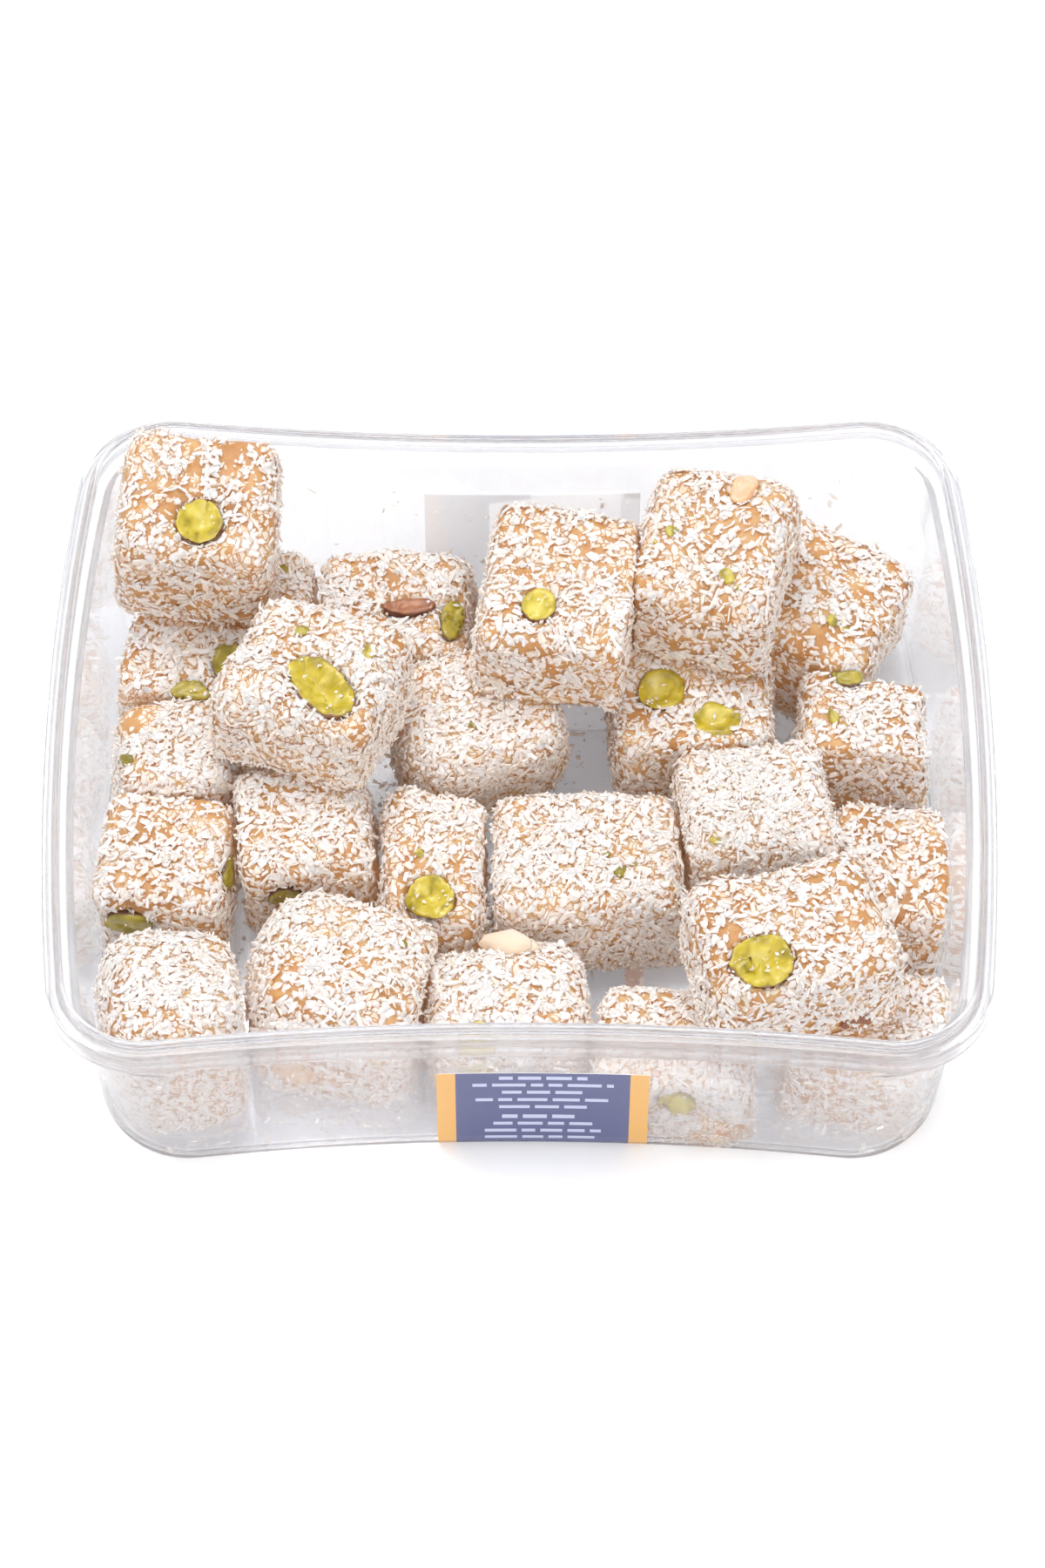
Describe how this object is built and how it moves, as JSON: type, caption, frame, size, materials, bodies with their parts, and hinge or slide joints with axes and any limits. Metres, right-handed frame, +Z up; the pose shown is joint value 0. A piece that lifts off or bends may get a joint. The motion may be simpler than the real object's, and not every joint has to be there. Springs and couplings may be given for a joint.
{
  "type": "tub of turkish delight",
  "caption": "Open clear plastic tub with a wrap-round paper label, filled with soft jelly sweets rolled in coconut, with pistachios and nuts showing.",
  "frame": {"origin": "centre of the tub's footprint, on the plane it stands on", "axes": "+X along the tub's longer side, +Y from the labelled front to the back, +Z up out of the tub"},
  "size_m": [0.1648, 0.1386, 0.0506],
  "materials": {
    "clear_plastic": "clear, glossy, moulded",
    "label_paper": "printed dark blue field with gold side bands",
    "jelly": "soft amber jelly under shredded coconut",
    "coconut": "dried coconut shreds, matt white to cream",
    "pistachio_cut": "cut nut, slightly glossy",
    "pistachio_skin": "whole kernel, slightly glossy",
    "pale_nut": "chopped hazelnut, matt"
  },
  "bodies": {
    "root": {"tub": "clear_plastic", "label": "label_paper", "sweet_a": "jelly", "sweet_b": "jelly", "sweet_c": "jelly", "sweet_d": "jelly", "sweet_e": "jelly", "sweet_f": "jelly", "sweet_g": "jelly", "sweet_h": "jelly", "sweet_i": "jelly", "sweet_j": "jelly", "sweet_k": "jelly", "sweet_l": "jelly", "sweet_m": "jelly", "sweet_n": "jelly", "sweet_o": "jelly", "sweet_p": "jelly", "sweet_q": "jelly", "sweet_r": "jelly", "sweet_s": "jelly", "sweet_t": "jelly", "sweet_u": "jelly", "sweet_v": "jelly", "sweet_w": "jelly", "sweet_x": "jelly", "sweet_y": "jelly", "sweet_z": "jelly", "sweet_aa": "jelly", "nut_a": "pistachio_cut", "nut_b": "pistachio_skin", "nut_b2": "pistachio_skin", "nut_y": "pistachio_skin", "nut_c": "pale_nut", "nut_c2": "pistachio_skin", "nut_d": "pistachio_cut", "nut_e": "pale_nut", "nut_g": "pistachio_cut", "nut_g2": "pistachio_cut", "nut_g3": "pistachio_cut", "nut_h": "pistachio_skin", "nut_k": "pistachio_cut", "nut_n": "pistachio_cut", "nut_p": "pistachio_skin", "nut_p2": "pistachio_skin", "nut_q": "pistachio_skin", "nut_r": "pistachio_cut", "nut_t": "pale_nut", "nut_u": "pistachio_cut", "nut_v": "pistachio_cut"}
  },
  "joints": []
}
